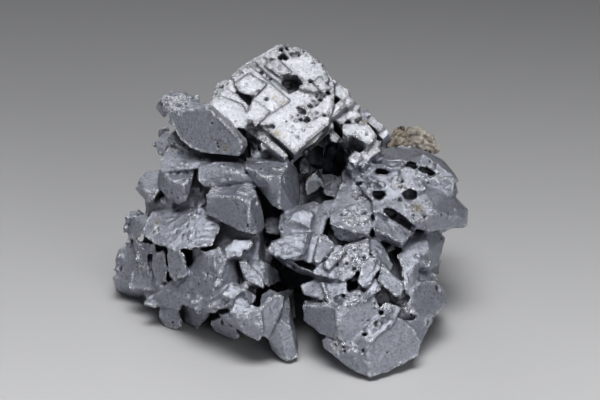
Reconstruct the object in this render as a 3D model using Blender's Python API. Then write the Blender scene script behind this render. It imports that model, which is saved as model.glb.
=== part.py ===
"""Galena specimen: a hand-sized cluster of intergrown lead-grey crystals, with a siderite crust on one shoulder.

Every crystal is a convex solid given by its corners on the display face, the side that a collector turns to
the front. A corner is (across, up, out), in millimetres: across to the right and up from the middle of the
display face, and out from it, as they show to someone who looks at it squarely from VIEW_DISTANCE away.
"""

import math
import random

import bmesh
import bpy
from mathutils import Euler, Matrix, Vector

MM = 0.001
VIEW_DISTANCE = 930.0
FACE_LEAN = math.radians(28)
FACE_HEIGHT = 28.2
CONTACT_GAP = 0.3
CLEAVAGE_LEAN = math.radians(30)
SEED = 7


def clear_scene():
    for item in list(bpy.data.objects):
        bpy.data.objects.remove(item)


def from_face(across, up, out):
    """The point in metres, +Z up, of a place on the display face. Sight lines close in towards the viewer."""
    nearer = 1 - out / VIEW_DISTANCE
    across, up = across * nearer, up * nearer
    return MM * Vector(
        (
            across,
            up * math.sin(FACE_LEAN) - out * math.cos(FACE_LEAN),
            up * math.cos(FACE_LEAN) + out * math.sin(FACE_LEAN) + FACE_HEIGHT,
        )
    )


def material(name, colour, roughness, metallic):
    made = bpy.data.materials.new(name)
    made.use_nodes = True
    shader = made.node_tree.nodes["Principled BSDF"]
    shader.inputs["Base Color"].default_value = (*colour, 1)
    shader.inputs["Roughness"].default_value = roughness
    shader.inputs["Metallic"].default_value = metallic
    return made


def hull(points, group):
    """A convex solid around points in metres, as an object of a collection."""
    mesh = bmesh.new()
    for point in points:
        mesh.verts.new(point)
    made = bmesh.ops.convex_hull(mesh, input=mesh.verts)
    spare = {v for v in made["geom_interior"] + made["geom_unused"] if isinstance(v, bmesh.types.BMVert)}
    bmesh.ops.delete(mesh, geom=list(spare), context="VERTS")
    bmesh.ops.recalc_face_normals(mesh, faces=mesh.faces)
    data = bpy.data.meshes.new("crystal")
    mesh.to_mesh(data)
    mesh.free()
    solid = bpy.data.objects.new("crystal", data)
    group.objects.link(solid)
    return solid


def helper_collection(name):
    """A collection of shapes that a Boolean reads, none of which is a piece by itself."""
    made = bpy.data.collections.new(name)
    bpy.context.scene.collection.children.link(made)
    made.hide_render = True
    return made


def crystal(group, *corners, deep=12.0, taper=0.85):
    """A crystal that shows these corners, and runs on into the specimen for deep mm while it narrows to taper."""
    middle = sum((Vector(c) for c in corners), Vector()) / len(corners)
    behind = []
    for corner in corners:
        inward = middle + (Vector(corner) - middle) * taper
        behind.append((inward.x, inward.y, inward.z - deep))
    return hull([from_face(*c) for c in [*corners, *behind]], group)


# The cleaved top crystal and the small cubes beside it share one set of cleavage directions. Their bright
# faces lean back from the display face by CLEAVAGE_LEAN, and their edges run at 45 degrees across them.
NORMAL = Vector((0, math.sin(CLEAVAGE_LEAN), math.cos(CLEAVAGE_LEAN)))
EDGE_DOWN = Vector((1, -math.cos(CLEAVAGE_LEAN), math.sin(CLEAVAGE_LEAN))).normalized()
EDGE_UP = Vector((1, math.cos(CLEAVAGE_LEAN), -math.sin(CLEAVAGE_LEAN))).normalized()
TOP_CORNER = Vector((1.2, 15.8, 14.0))


def on_cleavage(right, left, height, corner=TOP_CORNER):
    """A corner of the display face, from steps along the two edges that meet at the top crystal's lowest corner."""
    return tuple(corner + EDGE_UP * right - EDGE_DOWN * left + NORMAL * height)


def terrace(group, outline, top, bottom):
    """A flat-topped step on the top crystal, from bottom to top along the cleavage normal."""
    corners = [on_cleavage(r, l, h) for r, l in outline for h in (bottom, top)]
    return hull([from_face(*c) for c in corners], group)


def cleaved_block(group, middle, right, left, thick):
    """A small block whose bright face has its middle at a place on the display face, and sides of right and left mm."""
    corners = []
    for r in (-right / 2, right / 2):
        for l in (-left / 2, left / 2):
            for h in (0, -thick):
                corners.append(on_cleavage(r, l, h, Vector(middle)))
    return hull([from_face(*c) for c in corners], group)


def top_crystal(group):
    """The large cleaved block at the summit: a stepped face of parallel slabs over a narrower body."""
    terrace(
        group,
        [(0, 0), (13.6, 0), (19.4, 3.8), (23.6, 7.8), (25.8, 14), (25.9, 21.9),
         (22.8, 27.3), (21, 28.4), (11.5, 30.2), (6, 30.3), (1.1, 29), (0, 24)],
        0.0,
        -6.0,
    )
    terrace(group, [(4, 7), (20, 8), (25, 15), (22, 27), (10, 29), (3, 25)], -3.0, -20.0)
    terrace(group, [(15.5, 13), (18, 9), (23.5, 9.5), (25.3, 14), (25.3, 21.5), (22.5, 26.8), (15.5, 28)], 1.4, -2.0)
    terrace(group, [(12.7, 14.5), (15.3, 14.5), (15.3, 28.6), (12.7, 29.2)], 0.8, -2.0)
    terrace(group, [(4.6, 13.5), (11.2, 12.5), (11.2, 29.6), (4.6, 29.9)], 0.6, -2.0)
    terrace(
        group,
        [(-1.2, 15.4), (-3.3, 16.7), (-5, 20.8), (-5.4, 24.5), (-6.7, 28), (-4.6, 28.6), (1.5, 28.6), (2, 15)],
        0.3,
        -3.6,
    )
    terrace(group, [(-5.6, 17.5), (-4, 19), (-4, 27.5), (-6, 27.5)], -1.5, -6.0)
    terrace(group, [(-3.2, 0.7), (-1.4, 0.7), (-1.4, 10), (-3.2, 9.4)], -0.3, -6.0)
    terrace(group, [(-1.6, 3), (1, 3), (1, 16), (-3.4, 16)], -2.6, -7.0)
    terrace(group, [(-4.6, 3), (3, 5), (5, 20), (-3, 22)], -6.0, -14.0)
    crystal(group, (-22, 31, 2), (-20.6, 35.4, -1), (-17.5, 36.8, -2), (-15, 35, 1), (-16, 31.5, 5), deep=10)
    crystal(group, (-16.5, 37.5, -1), (-13.5, 40.3, -3), (-11.5, 41.4, -3), (-10, 38, 1), (-14, 36, 2), deep=9)
    crystal(group, (5, 44, -1), (8, 42, 0), (10.5, 39, 1), (12.6, 35.5, 2), (8, 36, 3), deep=9)


def top_crystal_hollows(cutters):
    """The holes and slots that are etched into the top crystal's face."""
    terrace(cutters, [(13, 14.5), (17.2, 13.6), (18, 17), (15.5, 19.6), (13, 18)], 4.0, -4.2)
    terrace(cutters, [(2.2, 19.8), (4.5, 19.6), (4.5, 26), (2.4, 25.5)], 4.0, -2.8)
    terrace(cutters, [(2.2, 14.4), (3.6, 14.4), (3.4, 17.2), (2.5, 17.2)], 4.0, -2.4)
    for right, left, wide, long in (
        (11.2, 7.9, 1.5, 1.9),
        (10.2, 5.2, 1.7, 1.5),
        (19.6, 23.6, 1.3, 2.2),
        (22.6, 21.6, 1.4, 1.5),
        (23.3, 24.6, 1.4, 1.4),
        (20.6, 7.6, 0.9, 2.0),
    ):
        outline = [
            (right - wide / 2, left - long / 2),
            (right + wide / 2, left - long / 2),
            (right + wide / 2, left + long / 2),
            (right - wide / 2, left + long / 2),
        ]
        terrace(cutters, outline, 4.0, -1.8)


def small_cubes(group):
    """The stair of small cleaved cubes that steps down from the top crystal to the right shoulder."""
    for middle, right, left, thick in (
        ((14.2, 33.0, 1.5), 3.4, 4.6, 9),
        ((12.8, 28.2, 4.5), 6.0, 2.6, 10),
        ((16.2, 30.6, 2.5), 2.8, 3.6, 9),
        ((18.2, 29.2, 1.6), 2.0, 3.0, 9),
        ((17.8, 26.4, 2.8), 3.6, 3.2, 10),
        ((14.8, 26.2, 2.6), 4.6, 3.4, 9),
        ((17.2, 22.6, 7.6), 5.0, 2.2, 8),
        ((20.6, 21.8, 7.0), 4.4, 6.4, 8),
        ((16.0, 21.2, 6.6), 3.2, 1.2, 6),
        ((12.6, 20.6, 3.0), 2.4, 3.6, 6),
        ((24.0, 24.2, 1.6), 2.6, 5.2, 10),
        ((26.0, 21.8, 2.0), 3.4, 3.6, 10),
        ((23.6, 17.8, 6.0), 4.4, 1.2, 7),
        ((22.4, 16.4, 6.6), 5.2, 3.6, 7),
        ((18.2, 14.6, 8.6), 3.6, 3.6, 6),
        ((20.6, 13.4, 8.0), 3.0, 2.0, 6),
        ((17.0, 12.8, 7.6), 2.6, 2.6, 6),
    ):
        cleaved_block(group, middle, right, left, thick)
    crystal(group, (12, 24, -2), (18, 28, -4), (26, 23, -5), (27, 17, -3), (20, 12, 2), (16, 16, -4), deep=16)


def centre_crystals(group):
    """The blocky crystals below the summit, and the ones that fill the middle of the display face."""
    crystal(
        group, (-3, 9, 20), (-7, 9.5, 19), (-13, 12, 14.5), (-12.5, 15, 8), (-2, 14.3, 10), (0, 13.8, 11),
        (1.9, 12, 7), (3, 3, 7), (1.2, 0, 12.5), (-2.8, 0.2, 17), (-5, 1.4, 16), (-7.2, 4, 15), (-9.8, 7.6, 13.5),
        deep=12,
    )
    crystal(
        group, (-11.5, 2.2, 22), (-14, 3.6, 20.5), (-23, 4, 15), (-22, 6.5, 11), (-18, 7.4, 10.5), (-12.5, 7.6, 12),
        (-10, 7, 13), (-9.2, 4.2, 18), (-7.5, -1, 16), (-7.2, -5, 15), (-9, -7, 18), (-11.5, -6.8, 20),
        (-15, -5.4, 18), (-20, -2, 15.5), (-23.6, -1, 13), deep=12,
    )
    crystal(
        group, (-25, 15, 6), (-21, 16.6, 4), (-14, 14.6, 8), (-13, 12, 12), (-9.5, 8, 14), (-17, 8, 14),
        (-20, 7.4, 13), (-24, 6.4, 11), (-25.6, 8, 11), (-25.6, 12, 9), (-16, 11, 14.6), deep=12,
    )
    crystal(
        group, (-2.3, -0.3, 14), (3, 0.2, 13), (4, 1.8, 10.5), (6.5, 2.4, 10), (8.6, 1.6, 12), (7.5, -1, 15),
        (5.9, -3, 18), (6, -5.8, 19), (0, -2.3, 18.6), (-3, -1.5, 15), (-3.4, -5, 17), (-2.5, -7.6, 18), deep=10,
    )
    crystal(
        group, (-6.1, -11, 17), (-5, -8.5, 15.5), (-3.5, -8, 16), (0, -7, 17), (5.9, -6, 20), (5, -10, 22.5),
        (3.6, -14, 21), (0, -14.2, 20.5), (-4, -13.2, 19), (-2.5, -9.6, 19.6), (3, -11.8, 23), deep=10,
    )
    crystal(
        group, (-6, -12, 16), (0, -14.3, 19), (6, -17, 21.4), (9.5, -19.4, 22), (3, -18, 16), (-2, -15.2, 13), deep=8,
    )
    crystal(
        group, (9, 2.4, 10), (12.9, 3.3, 8), (10, -3, 15), (8.4, -8, 19), (8, -10, 20), (5.6, -15, 22), (3.5, -14, 20),
        (6, -6, 19), (7.5, -1, 15), deep=9,
    )
    crystal(group, (9, 6.2, 4), (12, 7.6, 3), (14.1, 6.3, 5), (12.3, 3.8, 9), (9.8, 4.3, 8), deep=10)
    crystal(group, (4.4, 8.6, 5), (7.8, 11.5, 2), (9.4, 7, 3), (7, 4.9, 6), (5, 4.1, 7), (4.2, 6, 6), deep=12)
    crystal(group, (3.9, 15.2, 2), (5.6, 13, 2), (5, 10.4, 4), (3, 10, 5), (2.4, 13, 4), deep=12)
    crystal(group, (-11.5, 18, 4), (-7, 21, 3), (-4, 18, 6), (-6, 14.6, 8), (-11, 14.6, 7), deep=14)
    crystal(group, (-7, -2.5, 9), (-2.8, -1.5, 10), (-3, -7, 11), (-7, -6.5, 11), deep=8)
    crystal(group, (-11, -8, 8), (-6, -6.8, 6), (-4, -12, 8), (-6, -16.5, 9), (-11, -14, 12), deep=12)


def shield_plate(group):
    """The thick flat plate that stands out at the upper left, and the rough knob that it grew from."""
    def face(across, up):
        return (across, up, 12 + 0.35 * (across + 23) + 0.25 * (up - 22))

    outline = [
        (-34, 27.4), (-26.5, 27.4), (-23.2, 28.9), (-13.4, 18.9), (-13.2, 17.4), (-14.4, 14.7),
        (-22, 16.4), (-25, 16.2), (-28.2, 17.5), (-30.6, 19.6), (-32.4, 22.6), (-33.8, 25.6),
    ]
    thick = 4.2
    normal = Vector((-0.35, -0.25, 1)).normalized()
    front = [face(a, u) for a, u in outline]
    back = [tuple(Vector(p) - normal * thick) for p in front]
    hull([from_face(*p) for p in [*front, *back]], group)
    crystal(
        group, (-34.4, 27.8, 9), (-26.5, 27.4, 10.5), (-23.8, 28.8, 11), (-24, 30, 8), (-28, 32.2, 4), (-30, 33.2, 2),
        (-33.5, 33.4, 2), (-36.6, 30.9, 5), (-35, 28.4, 9), deep=7,
    )
    crystal(group, (-37.6, 28.6, 3), (-36.8, 31, 3), (-34.6, 29, 7), (-34, 27, 7), (-35.4, 25.7, 4), deep=5)
    crystal(group, (-28, 28, 6), (-22, 29, 8), (-15, 21, 10), (-16, 16, 9), (-26, 18, 6), deep=14)


def left_crystals(group):
    """The knobbly crystals down the left edge, above the large pitted one."""
    crystal(
        group, (-36.3, 14, 4), (-34, 18, 0), (-31, 17.6, 2), (-28, 16.6, 4), (-25, 14.6, 7), (-26, 11.5, 9),
        (-30, 11, 9), (-36.2, 10.4, 6), deep=12,
    )
    crystal(
        group, (-37.9, 19, -8), (-36, 21.1, -9), (-33.5, 22, -8), (-32, 21, -5), (-33, 18, -2), (-34.5, 15.8, -1),
        (-36.7, 15, -3), deep=9,
    )
    crystal(
        group, (-37, 11, 3), (-26.2, 11.6, 6), (-27, 9.5, 10), (-29.8, 6.8, 12.4), (-33.5, 8, 10), (-36.5, 6.3, 6),
        (-34.5, 3.7, 7), (-31, 1.8, 9), (-28.8, 2.2, 10), deep=12,
    )
    crystal(
        group, (-43.1, 6, -2), (-42, 9, -3), (-40, 11, -4), (-36.5, 11.2, -1), (-35.5, 9, 3), (-36.3, 5.8, 5),
        (-38.6, 2.2, 4), (-40, 2, 2), (-41.8, 4, 0), (-40.3, 5, 3.4), deep=10,
    )
    crystal(
        group, (-45.2, -8, -10), (-45.4, -6, -10), (-44.2, -2.3, -9), (-41.5, -2.1, -5), (-39.5, -0.9, -2),
        (-40.5, -4.5, 3), (-42, -7.5, 2), (-44, -8.2, -4), deep=9,
    )
    crystal(group, (-38.4, 1.5, -3), (-36, 4, 3), (-33, 3, 4), (-33, -1, 4), (-37.5, -1, 0), deep=10)
    crystal(group, (-26.5, 4.4, 4), (-24, 5, 6), (-23.4, 2, 9), (-26, 0.4, 8), deep=8)


def large_left_crystal(group):
    """The large crystal with a pitted, gently sloping top, and the plates that stand against it on the left."""
    crystal(
        group, (-38.6, -0.5, 2), (-36, 0.6, 1), (-26, 1.1, 6), (-23.8, 0.1, 9), (-19.6, -2.6, 12), (-20.2, -6, 15),
        (-22, -10, 18), (-28, -11, 17.4), (-34.4, -10.2, 14), (-38, -9.5, 10), (-41.6, -6.5, 5), (-40.4, -3, 3),
        deep=10,
    )
    crystal(
        group, (-34.3, -10.3, 14), (-31, -11, 16.6), (-29.2, -13, 18), (-28.8, -18.2, 15.5), (-32, -19.9, 14),
        (-33.8, -18.6, 13), deep=9,
    )
    crystal(group, (-27.4, -9.6, 15), (-24, -11.8, 17), (-26, -15.6, 14), (-27.4, -18, 12), deep=6)
    crystal(
        group, (-38.3, -12, 6), (-35, -11.4, 9), (-34.5, -19.9, 8), (-37.6, -20.4, 4), (-38.6, -16, 5), deep=9, taper=1,
    )
    crystal(
        group, (-43.2, -12.4, -2), (-40.1, -12.4, 1), (-39.4, -18, 2), (-41.4, -20, -1), (-43.4, -18, -3),
        deep=8, taper=1,
    )
    crystal(group, (-44, -9, -4), (-38, -9.4, 6), (-37, -12, 6), (-43, -13, -3), deep=9)
    crystal(
        group, (-49, -14, -9), (-48, -11, -11), (-45, -9, -12), (-42, -10, -6), (-41.5, -12.5, -4), (-42.5, -17.6, -4),
        (-48.4, -17.9, -7), deep=9,
    )
    crystal(
        group, (-49.6, -18.7, -8), (-48.5, -17.7, -8), (-43.5, -17.9, -5), (-42, -19.5, -4.4), (-41, -23.5, -7),
        (-42, -24.9, -12), (-45, -24.2, -13), (-48, -22.5, -12), (-49.4, -20.5, -10), deep=11,
    )
    crystal(group, (-41, -19.5, -2), (-38, -19.6, 4), (-35.6, -22.8, 7), (-37, -26.4, 4), (-40.6, -24.4, -3), deep=10)


def lower_left_crystals(group):
    """The large smooth crystal low on the left, and the faceted group that ends in the front left foot."""
    crystal(
        group, (-24, -12, 17), (-20, -10.5, 18), (-18, -13.5, 21), (-19.5, -18, 22), (-22.8, -25.6, 20.5),
        (-22, -29, 17), (-30.2, -26.4, 12), (-31, -24, 13.4), (-36, -22.4, 8), (-34, -20.2, 8), (-28, -18.8, 13),
        (-15.4, -13.4, 16), (-14.2, -20, 17), (-18, -27, 20), deep=12,
    )
    crystal(group, (-40, -24.2, 3), (-36, -22.4, 8), (-30.4, -25.6, 12.6), (-30.4, -28, 9), (-37, -26.8, 4), deep=9)
    crystal(
        group, (-18.4, -10, 17), (-15, -8, 14), (-11.5, -8, 14), (-10.2, -9.5, 16), (-13, -11.5, 19.6),
        (-15.5, -12.7, 21.2), (-17.6, -13.8, 21.6), (-18.2, -11.5, 20.4), (-8.6, -10, 11), (-9, -14, 13),
        (-13, -14, 16), deep=9,
    )
    crystal(
        group, (-14.5, -14, 16.5), (-12.5, -13.8, 16.5), (-10.5, -16, 18), (-8.2, -20, 18.6), (-9, -22, 19),
        (-12, -21, 20), (-13.4, -18, 19), deep=8,
    )
    crystal(
        group, (-9.6, -16, 15), (-8, -14.1, 14), (-6.3, -14.6, 13.6), (-3.5, -17, 11), (-2.5, -20, 11), (-6, -21.6, 16),
        (-8.2, -19, 16.6), deep=10,
    )
    crystal(
        group, (-23, -26.6, 22), (-20, -27.7, 23.5), (-17, -26.6, 25), (-15.8, -23.2, 25), (-12.2, -22.2, 22),
        (-15, -20.3, 19.4), (-17.3, -20.7, 20), (-19.6, -24, 21.6), (-9.4, -24.2, 20), (-10.5, -26.5, 22), deep=12,
    )
    crystal(
        group, (-17, -28, 25.4), (-14.3, -24.6, 24.4), (-12.3, -25, 24), (-11, -27, 25), (-14, -29.5, 27.2),
        (-16.4, -29.3, 26.6), deep=7,
    )
    crystal(
        group, (-15, -30, 27), (-13.5, -27.8, 26), (-11, -26.8, 26), (-8.2, -27.5, 26.8), (-7.5, -33, 26.8),
        (-8.5, -36.6, 24), (-12, -35.3, 24.5), (-14, -32.5, 26), (-20, -29.4, 20), deep=10,
    )
    crystal(
        group, (-8.3, -27.4, 26.6), (-6.5, -25, 25.4), (-3, -23.2, 23.8), (-1.9, -24.5, 23), (-1.9, -26.5, 23),
        (-4, -31.5, 24.4), (-5.8, -36.2, 23.4), (-8.4, -35, 25.4), (-8, -23.8, 20), (-5.5, -22.2, 19), deep=10,
    )
    crystal(
        group, (-4, -28, 20), (-0.4, -24, 14), (0, -33, 21), (1.5, -34.5, 19), (2.3, -38, 18), (1.9, -41.3, 19.4),
        (0, -42.7, 20.2), (-2.5, -41.9, 19.5), (-5.5, -39, 18.5), (-6.2, -36, 21), (-4, -31.5, 22.6), deep=9,
    )
    crystal(
        group, (-22, -31, 12), (-18, -29, 16), (-15.5, -33.2, 17), (-13.9, -35.1, 16), (-15.5, -36.4, 13),
        (-21, -34.1, 9.5), (-21.9, -32.8, 10), deep=9,
    )
    crystal(
        group, (-36.6, -28, 3), (-35.5, -26, 2), (-31.5, -27.5, 6), (-30.2, -31, 6), (-30.4, -32.7, 4), (-32, -33.6, 3.4),
        (-35, -32.4, 2), (-36.6, -30.8, 1), deep=9,
    )
    crystal(group, (-31, -24, 4), (-29, -29, 0), (-22.5, -24, 9), (-22.5, -29.5, 6), (-26, -33.6, 3), (-29.5, -31, 1))
    crystal(group, (-8, -24, 14), (1, -22, 12), (1.5, -30, 8), (-6, -33, 12), deep=14)


def shoulder(group):
    """The broad etched crystal of the right shoulder, in three ridges that run down to the right."""
    crystal(
        group, (23.5, 14.6, 3), (25.5, 16.2, 1), (28.5, 18.2, -2), (36, 17.4, -3), (40.5, 15.4, -5), (43, 13.9, -5),
        (46.3, 10.2, -2), (47.2, 8, 0), (45.5, 7.4, 3), (41, 9.4, 5.4), (37, 11, 7), (32, 12.4, 8), (27, 12.6, 7.4),
        deep=13,
    )
    crystal(
        group, (18, 10, 7), (20, 12.8, 4), (24, 12.6, 6), (29, 12, 8.6), (33, 12, 9), (36, 8.6, 11), (38.2, 6, 11.6),
        (36, 4, 13.4), (28.5, 2, 15.8), (22, 3, 14.4), (21, 6.8, 11.6), (18, 8, 9), deep=13,
    )
    crystal(
        group, (22.8, 2.6, 14), (28, 3, 15), (37, 6, 10.6), (40, 6.2, 8), (43, 6.2, 6), (46, 4, 4), (47.9, 2, 4),
        (49.6, 0.3, 4), (50.1, -2.5, 5.4), (49.5, -4.7, 5), (44, -4.9, 9), (39, -6.1, 13), (35, -5, 16),
        (34, -3.2, 19), (40.5, -1, 16), (27.5, 0.3, 18), (23, -0.5, 17), deep=13,
    )
    crystal(group, (44, 6.6, 4), (46.4, 7.2, 1), (47.1, 5, 0), (45.8, 3, 5), deep=6)
    crystal(group, (14.6, 11, 2), (18, 12, 4), (20, 9.6, 8), (17.6, 6.6, 9), (14.2, 8, 5), deep=10)


def shoulder_hollows(cutters):
    """The long slots and holes that are etched into the shoulder's ridges."""
    for corners, deep in (
        ([(23.2, 11.2, 20), (25, 11.7, 20), (28.8, 10.6, 20), (26.6, 9.7, 20), (24.6, 10.2, 20)], 17.5),
        ([(27.4, 13.3, 20), (30, 12.6, 20), (29.4, 11.8, 20), (27.8, 12.2, 20)], 17),
        ([(32, 12.6, 20), (34, 13.7, 20), (36.2, 12.6, 20), (35.2, 11.2, 20), (32.4, 11.8, 20)], 18),
        ([(35.6, 12.4, 20), (39.5, 11.8, 20), (41, 10.6, 20), (39.8, 9.4, 20), (36.4, 10.2, 20)], 19),
        ([(38.6, 8.2, 20), (41.4, 9.1, 20), (46, 8, 20), (45, 6.9, 20), (41, 6.2, 20), (38.8, 6.6, 20)], 20),
        ([(18, 7.4, 20), (20.5, 8, 20), (25, 6.8, 20), (25.8, 5.8, 20), (23.6, 6.2, 20), (20, 7, 20)], 12.5),
        ([(22.4, 5.2, 20), (26.4, 5.4, 20), (27.2, 4.2, 20), (25.4, 2.8, 20), (23.6, 3.6, 20)], 11),
        ([(30.4, 4.4, 20), (33.4, 5.9, 20), (35.4, 5.2, 20), (33.6, 3.4, 20)], 10),
        ([(43.2, 1.6, 20), (45.4, 2.9, 20), (46, 2.4, 20), (44.6, 1.2, 20)], 16.5),
    ):
        crystal(cutters, *corners, deep=deep, taper=0.9)


def right_crystals(group):
    """The stubby crystals below the shoulder, down the right side."""
    crystal(
        group, (14.5, 8.1, 6), (18.5, 7.6, 7.4), (21, 7, 8), (22.5, 3, 12), (22.9, -1, 16.4), (23, -5, 19.4),
        (21.5, -6.9, 20.6), (17.5, -6.2, 22.6), (14.5, -5.1, 21.4), (11.4, -4, 18.6), (11, -1.5, 16.5),
        (12.5, 0.6, 14.5), (14.5, 1.2, 14.4), (15, 5, 9.6), deep=10,
    )
    crystal(group, (11.4, -4.6, 17), (13, -8.2, 16.6), (18, -9, 18.4), (22.4, -8.2, 17.6), (22.6, -5, 18), deep=9)
    crystal(
        group, (24, -0.2, 15), (26.5, -0.4, 14), (31.5, -3, 13.4), (35.4, -5.5, 12), (33.6, -7.3, 15.4),
        (31.4, -9.3, 18.4), (23.5, -5.3, 20.4), (23.1, -2, 17.6), (31, -10.6, 16), (24, -8, 17), deep=10,
    )
    crystal(
        group, (34.5, -6, 9), (38.6, -6, 9), (38.7, -11.5, 13.2), (34.5, -16.2, 18), (31, -15.2, 18), (29.9, -13, 16.4),
        (41.5, -6, 3), (43.6, -8, 2), (42.5, -12, 5), (41, -15.9, 8), (39, -16.6, 10), deep=10,
    )
    crystal(
        group, (31, -15.4, 17.6), (34.5, -15.6, 17.6), (36, -17, 16.4), (35.6, -21, 19), (33.6, -25.2, 22),
        (32.4, -23, 22), (32.8, -19, 20), deep=9,
    )
    crystal(group, (35, -17, 13.6), (39, -16.6, 10), (40.9, -18.3, 10), (40.9, -20.4, 11), (36.5, -21, 17), deep=9)
    crystal(
        group, (32, -27.6, 24.4), (34.4, -22, 21.4), (36.5, -20, 18.6), (40, -19.7, 15), (43, -21.7, 12.5),
        (43.9, -24, 12), (43.9, -26.6, 13), (42.3, -28.1, 15), (40.4, -30.1, 17), (37, -31.6, 20.4), (35, -29, 23),
        deep=13,
    )
    crystal(
        group, (31, -31, 25.4), (37.5, -30.6, 20), (40.1, -30.4, 16.6), (38.6, -32.6, 17), (36.5, -37.6, 20),
        (35.5, -38.2, 21), (33.5, -34, 24.6), deep=12,
    )
    crystal(group, (26.4, -10.6, 14), (29, -9.4, 13), (29.6, -11, 13), (27, -12.4, 15), deep=8)


def ribs_and_loops(group):
    """The narrow ribs and the rounded, looping plates in the middle of the right lobe."""
    crystal(
        group, (8.2, -6.8, 18), (9.5, -7.4, 19), (12.4, -9.6, 20), (9.1, -15.7, 22.6), (8, -15.9, 22.6),
        (5.9, -14.9, 21.6), (7, -12, 20.6), deep=7,
    )
    crystal(
        group, (12.7, -9.7, 20.4), (14.5, -10.1, 20.8), (16.1, -12, 21.4), (13, -14.6, 23.2), (10.5, -17.2, 24),
        (9.3, -16.4, 23.4), deep=7,
    )
    crystal(
        group, (16.5, -9.3, 21), (22, -7.8, 19), (22.3, -12, 23), (20, -15.3, 24.6), (17.5, -19, 25.6), (15.5, -20.1, 25.6),
        (10, -19, 25), (6, -17.5, 23.4), (8, -15.6, 22), (12.5, -14, 22.4), deep=10,
    )
    crystal(
        group, (2.7, -21, 21), (7, -19.2, 21), (12, -19.2, 23), (16.4, -20.5, 25), (16, -23, 27.2), (12, -24.6, 27.8),
        (8, -24.7, 26), (4, -23.6, 23), deep=10,
    )
    crystal(
        group, (18.9, -19.5, 27), (22, -13.4, 24), (23.8, -12, 22.6), (25.6, -14.5, 24), (25, -16, 26.2),
        (22.5, -20.6, 28.6), (20.5, -22.1, 29), deep=8,
    )
    crystal(
        group, (22.2, -7.4, 17), (23.8, -7.5, 17), (26.7, -11, 18), (27, -13.5, 20), (28.8, -15.2, 21), (28.4, -17, 23),
        (26.5, -16.4, 24), (22.5, -11.8, 22), deep=7,
    )
    crystal(
        group, (25.6, -15.9, 25.6), (28, -17.7, 24.8), (31.4, -20, 24.2), (31.9, -22, 25), (31, -24.4, 27),
        (29.7, -24.6, 28), (27.5, -21, 28.2), (25, -19.8, 28.2), deep=7,
    )
    crystal(group, (17, -18, 22), (27, -18, 21), (33, -21, 19), (34, -31, 21), (26, -31, 25), (17, -26, 25), deep=12)


def lower_right_crystals(group):
    """The two large blocks at the bottom of the right lobe, which ends in the front right foot."""
    crystal(
        group, (3.6, -26.5, 22.6), (4.2, -25.1, 21), (7, -24.9, 22), (13, -27.3, 30.6), (19, -26.2, 30.6),
        (24, -24.4, 28), (25, -28, 28), (24.6, -31.5, 27.6), (20.5, -35.3, 28.6), (18, -36.7, 28.6), (13.7, -36.5, 29),
        (13.2, -31.3, 31.2), (9, -34.8, 24.6), (3.8, -30.9, 21), (20.5, -22.5, 25), deep=13,
    )
    crystal(
        group, (14.3, -25.7, 29.6), (16.5, -23.1, 27.4), (19, -22.1, 26.4), (21.1, -23.8, 27.4), (20.5, -25, 30),
        (17, -27, 31.4), deep=7,
    )
    crystal(group, (20.6, -21.2, 26.6), (24.4, -19.2, 26), (25.4, -22, 28), (21.6, -25, 30), deep=7)
    crystal(
        group, (8.9, -36.2, 24.6), (9.2, -38.4, 24), (14, -42.1, 25.6), (18.5, -45.4, 27.2), (22.3, -47, 28.7),
        (27, -45.5, 26.9), (32, -42.9, 25), (35.6, -41.2, 23.4), (36.6, -36.5, 23.4), (35, -33.5, 24.6),
        (32.5, -31, 26), (27, -28.9, 28.6), (24.8, -31.2, 29.4), (21.4, -35.3, 30.6), (14, -38, 28.2), deep=16,
    )
    crystal(group, (24.6, -27.6, 28.4), (26.6, -25.8, 28), (31.6, -27.4, 26), (29.6, -30.6, 28.4), deep=8)


def core(group):
    """The inner mass that the outer crystals grow from: a left, a right and a back lobe, with a cleft between."""
    crystal(
        group, (-40, 5, -4), (-30, 14, -1), (-12, 12, 8), (-8, 2, 13), (-7, -12, 11), (-10, -27, 17), (-24, -24, 13),
        (-36, -21, 3), (-42, -16, -6), (-30, 0, 5), deep=17, taper=0.7,
    )
    crystal(
        group, (16, 4, 4), (24, 10, 3), (40, 8, -4), (44, 0, 0), (38, -14, 5), (36, -26, 14), (22, -36, 22),
        (10, -28, 18), (11, -16, 15), (10, -6, 9), deep=18, taper=0.75,
    )
    crystal(
        group, (-26, 15, -6), (-18, 28, -2), (-2, 38, -8), (10, 32, -7), (24, 18, -8), (38, 4, -8), (32, -18, -4),
        (6, -14, 2), (-2, -6, 6), (-30, -12, -10), (-8, 6, 4), deep=15, taper=0.75,
    )


def crust_grains(group, clearance=0.0):
    """The grains of siderite on the shoulder, each a small lump of facets, made larger all round by clearance."""
    turn = random.Random(SEED + 1)
    for across, up, out, radius in (
        (28.7, 18.3, -2.6, 1.5), (30.0, 19.8, -3.8, 2.1), (32.0, 20.6, -4.8, 2.0), (30.6, 21.4, -5.8, 1.7),
        (32.8, 18.8, -4.4, 1.9), (34.9, 21.2, -6.0, 2.2), (36.7, 20.4, -6.4, 2.0), (38.5, 18.9, -6.8, 2.3),
        (40.1, 17.6, -6.6, 1.7), (37.2, 18.0, -5.8, 1.8), (35.0, 19.0, -5.2, 1.9),
    ):
        corners = []
        for corner in cube(1.5 * radius):
            corners.append(corner * turn.uniform(0.75, 1.05) * (1 + clearance / radius))
        angles = Euler([turn.uniform(-1.5, 1.5) for _ in range(3)])
        hull([from_face(across, up, out) + MM * (angles.to_matrix() @ corner) for corner in corners], group)


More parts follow.
